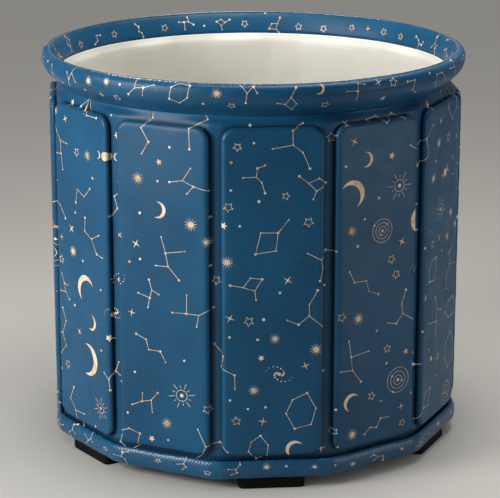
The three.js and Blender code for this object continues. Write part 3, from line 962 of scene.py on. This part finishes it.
def collar():
    inside = [(BAND_RADIUS + FABRIC, BAND_LOW), (NECK_RADIUS + 0.0005, BAND_LOW - 0.008)]
    section = OUTLINE + inside + [(NECK_RADIUS - FABRIC, COLLAR_LOW)]
    bm = bmesh.new()
    ring = bmesh.ops.create_circle(bm, segments=len(section), radius=1)["verts"]
    for v, (radius, height) in zip(ring, section):
        v.co = (0, -radius, height)
    spin_outline(bm, COLLAR_STEPS)
    for v in bm.verts:
        shift = collar_shift(v.co)
        grow = 1 + shift / math.hypot(v.co.x, v.co.y)
        lift = shift * (PUCKER_LIFT if v.co.z > SEAM_HEIGHT - 0.004 else 0)
        v.co = (v.co.x * grow, v.co.y * grow, min(v.co.z + lift, COLLAR_TOP + 0.001))
    piece = put_in_scene(bm, "collar_ring")
    lay_cloth(piece, lambda at: at.z + (at.xy.length - NECK_RADIUS) * (1 if at.z > 0.66 else 0.3))
    piece.data.materials.append(CLOTH)
    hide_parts("collar_cover", "collar_foam")
    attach(piece, "tub")
    return piece


collar_ring = collar()

# The crest seam: the gathered ridge of doubled cloth and thread that stands up where the collar's cover
# meets the band inside, puckered with the cloth beside it and shinier.
# The cord's two blues are the cloth's painted lighter: a painted highlight along the crest
CORD_HIGHLIT_LIGHT = (0.03, 0.13, 0.25, 1)
CORD_HIGHLIT_DEEP = (0.02, 0.10, 0.20, 1)
CORD_ROUGHNESS = 0.16
CORD_RADIUS = 0.0018
CORD_RISE = 0.0010
CORD_SWAY = (0.0003, 0.0001)
CORD_STEPS = 1260
CORD_FULLNESS = 0.95
CORD_LUMPS = 0.30
CORD_LUMP_FINENESS = 60
CORD_BEADS = 310
CORD_BEAD_HEIGHT = 0.08


def crest_seam():
    bm = bmesh.new()
    ring = bmesh.ops.create_circle(bm, segments=8, radius=CORD_RADIUS)["verts"]
    for v in ring:
        v.co = (0, -(SEAM_RADIUS + v.co.x), SEAM_HEIGHT + v.co.y)
    spin_outline(bm, CORD_STEPS)
    middle = Vector((SEAM_RADIUS, SEAM_HEIGHT))
    rise = Vector((0, CORD_RISE))
    for v in bm.verts:
        turn = turn_of(v.co)
        off = Vector((v.co.xy.length, v.co.z)) - middle
        bead = CORD_FULLNESS + CORD_LUMPS * ripple_round(turn, CORD_LUMP_FINENESS, 6.0)
        bead += CORD_BEAD_HEIGHT * math.sin(turn * CORD_BEADS)
        place = middle + rise + off * bead + Vector(CORD_SWAY) * pucker_wave(turn)
        v.co = at_turn(turn, place.x, place.y)
    piece = put_in_scene(bm, "crest_seam")
    lay_cloth(piece)
    # The seam's satin carries a painted highlight in its lighter blues, on top of its real gloss
    satin = cloth_material("seam_satin_painted_highlight", CORD_HIGHLIT_LIGHT, CORD_HIGHLIT_DEEP, CORD_ROUGHNESS, gloss=1.0, coat=1.0)
    piece.data.materials.append(satin)
    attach(piece, "tub")


crest_seam()

# The base roll: a stuffed piping of the printed cloth round the foot of the wall. Its cover is gathered into
# the seam between wall and base sheet, so it is a little slack and wrinkles across.
ROLL_ROUGHNESS = 0.27
ROLL_GLOSS = 0.42
ROLL_LOW = 0.0190
ROLL_HEIGHT = 0.031
ROLL_MIDDLE = ROLL_LOW + ROLL_HEIGHT / 2
ROLL_WIDTH = 0.013
ROLL_NEAR = 0.3390
ROLL_CORNER = SHEET_CORNER + 0.0003
# How far the painted shade reaches out over the roll from the wall
ROLL_WALL_SHADE_REACH = 0.004
ROLL_STEPS = 720
WRINKLES = 118
WRINKLE_DEPTH = 0.0009
WRINKLE_MIDDLE = 0.3
WRINKLE_SPREAD = 0.35
WRINKLE_EDGE = 0.1
ROLL_UNEVENNESS = 0.0010
ROLL_UNEVEN_FINENESS = 30
ROLL_UNEVEN_EDGE = 0.2


def roll_shift(at, share):
    """How far the cover stands out at that share of the roll's width, in wrinkles near the wall."""
    turn = turn_of(at)
    wave = math.sin(turn * WRINKLES + 4 * math.sin(turn * 9) + 2 * math.sin(turn * 31))
    depth = 0.55 + 0.6 * ripple_round(turn, 9, 8.0)
    wrinkle = wave * depth * WRINKLE_DEPTH
    wrinkle *= math.exp(-((share - WRINKLE_MIDDLE) / WRINKLE_SPREAD) ** 2)
    wrinkle *= min(share / WRINKLE_EDGE, 1)
    uneven = ripple(at, ROLL_UNEVEN_FINENESS, 5.0) * ROLL_UNEVENNESS * min(share / ROLL_UNEVEN_EDGE, 1)
    return wrinkle + uneven


def roll_wall(turn):
    """How far out the roll's side at the wall is."""
    return wall_radius(turn, ROLL_NEAR, ROLL_CORNER)


def roll():
    bm = bmesh.new()
    ring = bmesh.ops.create_circle(bm, segments=28, radius=1)["verts"]
    for v in ring:
        out = ROLL_NEAR + ROLL_WIDTH / 2 * (1 + v.co.x)
        v.co = (0, -out, ROLL_MIDDLE + ROLL_HEIGHT / 2 * v.co.y)
    spin_outline(bm, ROLL_STEPS)
    for v in bm.verts:
        turn = turn_of(v.co)
        out = v.co.xy.length - ROLL_NEAR
        lift = v.co.z - ROLL_MIDDLE
        share = out / ROLL_WIDTH
        shift = roll_shift(v.co, share)
        radius = roll_wall(turn) + max(out + shift * share, 0)
        v.co = at_turn(turn, radius, ROLL_MIDDLE + lift * (1 + shift / (ROLL_HEIGHT / 2)))
    piece = put_in_scene(bm, "base_roll")
    lay_cloth(piece, lambda at: at.z + at.xy.length * 0.5)
    # Painted shade where the roll meets the wall
    mark_crease_shade(piece, lambda at: 1 - (at.xy.length - roll_wall(turn_of(at))) / ROLL_WALL_SHADE_REACH)
    twill = cloth_material("roll_twill", CLOTH_BLUE, CLOTH_DEEP, ROLL_ROUGHNESS, gloss=ROLL_GLOSS)
    piece.data.materials.append(twill)
    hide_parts("base_roll_cover", "base_roll_core")
    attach(piece, "tub")
    return piece


base_roll = roll()

# The print: a generic night-sky pattern in cream and gold foil, pressed on the cloth before it was sewn, so
# it runs on over the panels' edges, the strips, the collar and the base roll. Its motifs are laid out flat
# and then pressed on the cloth under them.
INK_CREAM = (0.84, 0.74, 0.60, 1)
INK_GOLD = (0.86, 0.66, 0.43, 1)
INK_COPPER = (0.62, 0.345, 0.16, 1)
INK_ROUGHNESS = 0.46
INK_WEAVE_DEPTH = 0.00018
INK_LIFT = 0.00018
INK_STRAY = 0.00012
INK_SHORTEST = 0.0005
INK_LONGEST = (0.012, 0.006, 0.0035)
INK_ROUNDS = 4
INK_LINE = 0.00125
INK_FINE = 0.00085
INK_SAME_POINT = 0.000001
SHARPEST_BEND = 0.45
BIG_DOT = 0.0021
SMALL_DOT = 0.0014
TRIES = 60
SIZES = (0.86, 1.12)
PHASES_TILT = (-0.5, 0.5)
CRESCENT_TILT = (-0.9, 0.9)
TURNED_CRESCENTS = 0.3
BAND_ROUND = 0.341
ROLL_ROUND = 0.352
ROLL_ARC = 0.0125

# The strips that are printed, from and to: a height, or on the collar the way along its outline
WALL_SPAN = (0.062, 0.612)
COLLAR_SPAN = (0.024, 0.060)
BAND_SPAN = (0.6515, 0.6615)
ROLL_SPAN = (-0.006, 0.010)

# How far out a ray for each strip starts, or how far off its cloth; how far it reaches; and how far along
# it the nearest cloth is looked for if it misses
WALL_AIM = 0.5
BAND_AIM = 0.30
COLLAR_AIM = 0.02
ROLL_AIM = 0.04
CAST_REACH = 0.2
CAST_MISS = 0.03


def foil(n):
    """Cream ink with gold and copper foil in it, lying on the cloth's weave."""
    place = n.add("TexCoord", "Object")
    blush = n.add("TexNoise", Vector=place, Scale=95.0, Detail=2.0)
    gold = n.mix(n.between(blush, 0.40, 0.62), INK_GOLD, INK_COPPER)
    patches = n.add("TexNoise", Vector=place, Scale=31.0, Detail=1.0)
    weave = n.group(TWILL, Cloth=n.add("UVMap", 0, {"uv_map": "cloth"}))["Height"]
    return {
        "Base Color": n.mix(n.between(patches, 0.42, 0.60), INK_CREAM, gold),
        "Roughness": n.math("MULTIPLY_ADD", weave, 0.12, INK_ROUGHNESS),
        "Normal": n.add("Bump", Height=weave, Distance=INK_WEAVE_DEPTH, Strength=0.6),
        "Metallic": 0.1,
        "Specular IOR Level": 0.3,
    }


FOIL = new_material("cream_and_gold_foil", foil)


def polar(reach, turn):
    return reach * math.cos(turn), reach * math.sin(turn)


def ink_disc(bm, centre, radius, sides=10):
    made = bmesh.ops.create_circle(bm, cap_ends=True, segments=sides, radius=radius)["verts"]
    bmesh.ops.translate(bm, verts=made, vec=(*centre, 0))
    return made


def ink_line(bm, points, width=INK_LINE, closed=False):
    """A line of even width through the points."""
    count = len(points) if closed else len(points) - 1
    made = bmesh.ops.create_grid(bm, x_segments=count, y_segments=1, size=1)["verts"]
    for v in made:
        i = round((v.co.x + 1) / 2 * count)
        here = Vector(points[i % len(points)])
        before = Vector(points[(i - 1) % len(points)] if closed or i > 0 else points[0])
        after = Vector(points[(i + 1) % len(points)] if closed or i < count else points[-1])
        come, go = here - before, after - here
        come = come.normalized() if come.length else go.normalized()
        go = go.normalized() if go.length else come
        run = (come + go).normalized()
        lean = max(run.dot(go), SHARPEST_BEND)
        aside = Vector((-run.y, run.x)) * (width / 2 / lean) * math.copysign(1, v.co.y)
        v.co = (here.x + aside.x, here.y + aside.y, 0)
    return made


def ink_spikes(bm, points, outer, inner):
    """A filled star with that many points."""
    made = bmesh.ops.create_circle(bm, cap_ends=True, cap_tris=True, segments=points * 2, radius=1)["verts"]
    rim = [v for v in made if v.co.length > 0.5]
    for v in rim:
        turn = math.atan2(v.co.y, v.co.x) - math.pi / 2
        step = round(turn / math.pi * points)
        v.co *= inner if step % 2 else outer
    return made


def star(bm, size):
    points = []
    for i in range(10):
        reach = size if i % 2 == 0 else size * 0.52
        points.append(polar(reach, math.pi / 2 + i * math.pi / 5))
    return ink_line(bm, points, INK_FINE, True)


def bright_star(bm, size):
    return ink_spikes(bm, 5, size, size * 0.48)


def sparkle(bm, size):
    return ink_spikes(bm, 4, size, size * 0.17)


def sun(bm, size):
    return ink_spikes(bm, 12, size, size * 0.24) + ink_disc(bm, (0, 0), size * 0.36, 14)


def spot(bm, size):
    return ink_disc(bm, (0, 0), size)


def crescent(bm, size):
    """A slim moon between a circle's edge and a smaller circle's, open to the right."""
    made = bmesh.ops.create_grid(bm, x_segments=26, y_segments=3, size=1)["verts"]
    tip = math.radians(69)
    shift = 0.36
    inner = math.hypot(math.cos(tip) - shift, math.sin(tip))
    inner_tip = math.atan2(math.sin(tip), math.cos(tip) - shift)
    for v in made:
        share = 0.5 + v.co.x * 0.485
        across = (v.co.y + 1) / 2
        turn = tip + (math.tau - 2 * tip) * share
        near = inner_tip + (math.tau - 2 * inner_tip) * share
        outer_place = Vector((math.cos(turn), math.sin(turn), 0))
        inner_place = Vector((shift + inner * math.cos(near), inner * math.sin(near), 0))
        v.co = outer_place.lerp(inner_place, across) * size
    return made


def ink_ring(bm, radius, sides, width=INK_FINE):
    return ink_line(bm, [polar(radius, math.tau * i / sides) for i in range(sides)], width, True)


def burst(bm, size):
    """A ring with long and short rays round it."""
    made = ink_ring(bm, size * 0.42, 20)
    made += ink_disc(bm, (0, 0), size * 0.14)
    for i in range(12):
        turn = math.pi / 6 * i
        reach = size if i % 2 == 0 else size * 0.76
        made += ink_line(bm, [polar(size * 0.56, turn), polar(reach, turn)], INK_FINE)
    return made


def orbits(bm, size):
    """Three rings round a spot, each with a small body on it."""
    made = ink_disc(bm, (0, 0), size * 0.13)
    for share, turn in ((0.38, 0.9), (0.68, 3.7), (1.0, 5.4)):
        made += ink_ring(bm, size * share, 12 + round(18 * share), INK_FINE * 0.85)
        made += ink_disc(bm, polar(size * share, turn), size * 0.09)
    return made


def swirl(bm, size):
    """Dots on two arms that wind out from a middle."""
    made = ink_disc(bm, (0, 0), size * 0.13)
    for arm in (0, math.pi):
        for i in range(9):
            turn = arm + 0.42 * i
            reach = size * (0.22 + 0.78 * i / 8)
            place = (reach * math.cos(turn), reach * 0.72 * math.sin(turn))
            made += ink_disc(bm, place, size * (0.085 - 0.0065 * i), 8)
    return made


def phases(bm, size):
    """A waxing moon, a full one and a waning one in a row."""
    made = ink_disc(bm, (0, 0), size * 0.34, 16)
    for side in (-1, 1):
        moon = crescent(bm, size * 0.30)
        if side > 0:
            rotate_about_axis(bm, moon, math.pi)
        bmesh.ops.translate(bm, verts=moon, vec=(-side * size * 0.80, 0, 0))
        made += moon
    return made


# Invented star figures: the stars' places, and the lines through them
FIGURES = [
    (
        [(-0.9, -0.5), (-0.4, 0.1), (-0.5, 0.7), (0.2, 0.3), (0.9, 0.6), (0.5, -0.6)],
        [(0, 1, 3, 4), (1, 2), (3, 5)],
    ),
    (
        [(-0.8, 0.8), (-0.3, 0.2), (0.4, 0.4), (0.9, -0.1), (0.1, -0.4), (-0.2, -0.9)],
        [(0, 1, 2, 3, 4, 1), (4, 5)],
    ),
    ([(-1, -0.2), (-0.5, 0.1), (0, -0.1), (0.4, 0.4), (1, 0.3)], [(0, 1, 2, 3, 4)]),
    (
        [(-0.6, 0.9), (-0.7, 0.2), (-0.1, -0.1), (0.3, -0.8), (0.8, -0.9), (0.6, 0.2)],
        [(0, 1, 2, 3, 4), (2, 5)],
    ),
    (
        [(-0.9, 0.1), (-0.2, 0.6), (0.6, 0.5), (0.9, -0.2), (0.2, -0.7), (-0.5, -0.5)],
        [(0, 1, 2, 3, 4, 5, 0)],
    ),
    (
        [(-0.9, 0.9), (-0.4, 0.3), (0.1, 0.1), (0.3, -0.5), (-0.1, -0.9), (0.9, 0.5)],
        [(0, 1, 2, 3, 4), (2, 5)],
    ),
    ([(0, 1), (-0.5, 0.3), (0.5, 0.2), (0, -0.3), (0.1, -1)], [(0, 1, 3, 2, 0), (3, 4)]),
    (
        [(-1, 0.4), (-0.4, 0.5), (0.1, 0), (0.7, 0.1), (1, -0.5), (0, -0.7)],
        [(0, 1, 2, 3, 4), (2, 5)],
    ),
    (
        [(-0.5, -1), (-0.3, -0.3), (-0.7, 0.4), (0.2, 0.1), (0.7, 0.7), (0.4, -0.4)],
        [(0, 1, 2), (1, 3, 4), (3, 5)],
    ),
    ([(-0.8, -0.3), (-0.1, 0.2), (0.6, -0.2), (0.9, 0.6)], [(0, 1, 2, 3)]),
]


def figure(bm, size, kind):
    places, lines = FIGURES[kind]
    points = [(x * size, y * size) for x, y in places]
    made = []
    for line in lines:
        made += ink_line(bm, [points[i] for i in line], INK_FINE)
    for i, point in enumerate(points):
        made += ink_disc(bm, point, BIG_DOT if i % 3 == 0 else SMALL_DOT, 9)
    return made


# What is strewn over the cloth, the hardest to place first: motif, reach in metres, room kept, number
WALL_MOTIFS = [
    (crescent, 0.0265, 0.036, 8),
    (figure, 0.036, 0.043, 74),
    (burst, 0.0215, 0.029, 9),
    (orbits, 0.0225, 0.030, 8),
    (swirl, 0.020, 0.027, 8),
    (phases, 0.020, 0.025, 5),
    (figure, 0.026, 0.031, 40),
    (crescent, 0.0145, 0.021, 16),
    (sun, 0.0110, 0.017, 40),
    (star, 0.0072, 0.014, 60),
    (bright_star, 0.0058, 0.013, 30),
    (sparkle, 0.0085, 0.014, 62),
    (spot, 0.0022, 0.009, 150),
]
COLLAR_MOTIFS = [
    (figure, 0.023, 0.029, 26),
    (sun, 0.0090, 0.017, 14),
    (crescent, 0.0095, 0.017, 6),
    (star, 0.0072, 0.014, 26),
    (sparkle, 0.0080, 0.014, 24),
    (spot, 0.0022, 0.010, 40),
]
BAND_MOTIFS = [
    (figure, 0.0135, 0.022, 22),
    (star, 0.0062, 0.018, 22),
    (sparkle, 0.0065, 0.016, 10),
    (spot, 0.0020, 0.012, 22),
]
ROLL_MOTIFS = [
    (figure, 0.016, 0.024, 20),
    (sun, 0.0080, 0.020, 12),
    (star, 0.0065, 0.018, 12),
    (spot, 0.0020, 0.012, 26),
]


def strew(motifs, around, low, high, seed, kept_clear):
    """Seeded places for the motifs with room round each: (motif, reach, u, v, turn)."""
    chance = random.Random(seed)
    taken = list(kept_clear)
    placed = []

    def is_free(u, v, room):
        for a, b, taken_room in taken:
            apart = (u - a + around / 2) % around - around / 2
            if math.hypot(apart, v - b) <= room + taken_room:
                return False
        return True

    for motif, reach, room, count in motifs:
        for _ in range(count):
            for _ in range(TRIES):
                u = chance.random() * around
                v = low + chance.random() * (high - low)
                if is_free(u, v, room):
                    taken.append((u, v, room))
                    size = reach * chance.uniform(*SIZES)
                    placed.append((motif, size, u, v, chance.uniform(0, math.tau)))
                    break
    return placed


def draw_flat(bm, placed, chance):
    """Draws each motif at its place on the flat cloth."""
    for motif, reach, u, v, turn in placed:
        if motif is figure:
            made = figure(bm, reach, chance.randrange(len(FIGURES)))
        else:
            made = motif(bm, reach)
        if motif is phases:
            turn = chance.uniform(*PHASES_TILT)
        if motif is crescent:
            turn = chance.uniform(*CRESCENT_TILT)
            turn += math.pi if chance.random() < TURNED_CRESCENTS else 0
        rotate_about_axis(bm, made, turn)
        bmesh.ops.translate(bm, verts=made, vec=(u, v, 0))
    bmesh.ops.remove_doubles(bm, verts=bm.verts, dist=INK_SAME_POINT)
    bmesh.ops.triangulate(bm, faces=bm.faces)


def split_edges(bm, edges):
    bmesh.ops.subdivide_edges(bm, edges=edges, cuts=1)
    bmesh.ops.triangulate(bm, faces=[f for f in bm.faces if len(f.verts) > 3])


def surface_of(pieces):
    """The pieces' finished surfaces as one tree to cast rays at."""
    depsgraph = bpy.context.evaluated_depsgraph_get()
    corners, faces = [], []
    for piece in pieces:
        mesh = piece.evaluated_get(depsgraph).data
        first = len(corners)
        corners += [v.co.copy() for v in mesh.vertices]
        faces += [[first + i for i in p.vertices] for p in mesh.polygons]
    return BVHTree.FromPolygons(corners, faces)


def press_print(name, motifs, radius, span, seeds, aim, targets, kept_clear=()):
    """Strews the motifs flat over that span of the cloth, then presses each point where it is aimed."""
    around = math.tau * radius
    bm = bmesh.new()
    draw_flat(bm, strew(motifs, around, *span, seeds[0], kept_clear), random.Random(seeds[1]))
    for limit in INK_LONGEST:
        split_edges(bm, [e for e in bm.edges if e.calc_length() > limit])
    cloth = surface_of(targets)

    def pressed(at):
        start, way = aim(at.x / around * math.tau, at.y)
        hit = cloth.ray_cast(start, way, CAST_REACH)[0]
        if hit is None:
            hit = cloth.find_nearest(start + way * CAST_MISS)[0]
        return hit - way * INK_LIFT

    for _ in range(INK_ROUNDS):
        seats = {v: pressed(v.co) for v in bm.verts}
        bent = []
        for edge in bm.edges:
            a, b = edge.verts
            if edge.calc_length() > INK_SHORTEST:
                straight = (seats[a] + seats[b]) / 2
                if (pressed((a.co + b.co) / 2) - straight).length > INK_STRAY:
                    bent.append(edge)
        split_edges(bm, bent)
    flat = bm.loops.layers.uv.new("cloth")
    for face in bm.faces:
        for loop in face.loops:
            loop[flat].uv = loop.vert.co.xy
    for v in bm.verts:
        v.co = pressed(v.co)
    bm.normal_update()
    piece = put_in_scene(bm, name)
    piece.data.materials.append(FOIL)
    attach(piece, "tub")


def aim_at_wall(turn, height):
    way = at_turn(turn, 1, 0)
    return way * WALL_AIM + Vector((0, 0, height)), -way


def along_outline(reach):
    """The point that far along the collar's outline from the neck, and the way out there."""
    for a, b in zip(OUTLINE, OUTLINE[1:]):
        step = math.dist(a, b)
        if reach <= step:
            share = reach / step
            run = ((b[0] - a[0]) / step, (b[1] - a[1]) / step)
            return (a[0] + (b[0] - a[0]) * share, a[1] + (b[1] - a[1]) * share), (run[1], -run[0])
        reach -= step
    return OUTLINE[-1], (-1, 0)


def aim_at_collar(turn, reach):
    (radius, height), (out, up) = along_outline(reach)
    way = at_turn(turn, out, up)
    return at_turn(turn, radius, height) + way * COLLAR_AIM, -way


def aim_at_band(turn, height):
    way = at_turn(turn, -1, 0)
    return at_turn(turn, BAND_AIM, height), -way


def aim_at_roll(turn, lift):
    lean = lift / ROLL_ARC
    way = at_turn(turn, math.cos(lean), math.sin(lean))
    middle = at_turn(turn, roll_wall(turn) + ROLL_WIDTH / 2, ROLL_MIDDLE)
    return middle + way * ROLL_AIM, -way


recess = (math.tau * WALL_ROUND / 2, DRAIN_HEIGHT, RECESS_RADIUS)
cloths = [sheet, *pads]
press_print("wall_print", WALL_MOTIFS, WALL_ROUND, WALL_SPAN, (41, 5), aim_at_wall, cloths, [recess])
press_print("collar_print", COLLAR_MOTIFS, COLLAR_OUT, COLLAR_SPAN, (12, 6), aim_at_collar, [collar_ring])
press_print("band_print", BAND_MOTIFS, BAND_ROUND, BAND_SPAN, (23, 7), aim_at_band, [collar_ring])
press_print("roll_print", ROLL_MOTIFS, ROLL_ROUND, ROLL_SPAN, (34, 8), aim_at_roll, [base_roll])

# The feet: six moulded rubber pads under the base sheet, which keep the base off the wet ground. They're
# black all through, with hardly any shine.
FEET = 6
FOOT_BLACK = (0.002, 0.002, 0.002, 1)
FOOT_ROUGHNESS = 0.7
FOOT_GLOSS = 0.12

feet = [f"foot_pad_{k + 1:02d}" for k in range(FEET)]
dress(feet, moulded("foot_rubber_black", FOOT_BLACK, FOOT_ROUGHNESS, gloss=FOOT_GLOSS))

# The drain: moulded white fittings clamped through the back panel, with grey seals, a tapered stopper with a
# steel pull ring inside, and a fluted screw cap outside.
FITTING_WHITE = (0.78, 0.79, 0.79, 1)
FITTING_ROUGHNESS = 0.32
SEAL_GREY = (0.22, 0.23, 0.24, 1)
SEAL_ROUGHNESS = 0.55
STEEL_DARK = (0.58, 0.59, 0.60, 1)
STEEL_BRIGHT = (0.70, 0.71, 0.72, 1)
SCRATCH_FINENESS = 1400.0
SCRATCH_DEPTH = 0.00003


def drawn_steel(n):
    """Drawn steel wire with fine scratches."""
    place = n.add("TexCoord", "Object")
    scratches = n.add("TexNoise", Vector=place, Scale=SCRATCH_FINENESS, Detail=2.0)
    return {
        "Base Color": n.mix(scratches, STEEL_DARK, STEEL_BRIGHT),
        "Roughness": n.math("MULTIPLY_ADD", scratches, 0.2, 0.15),
        "Normal": n.add("Bump", Height=scratches, Distance=SCRATCH_DEPTH),
        "Metallic": 1,
    }


fittings = ["drain_body", "drain_washer", "drain_lock_nut", "drain_cap"]
seals = ["drain_gasket", "drain_cap_seal", "drain_stopper"]
dress(fittings, moulded("fitting_white", FITTING_WHITE, FITTING_ROUGHNESS))
dress(seals, moulded("seal_rubber_grey", SEAL_GREY, SEAL_ROUGHNESS))
dress(["stopper_ring"], new_material("ring_steel_drawn", drawn_steel))

bpy.context.view_layer.update()
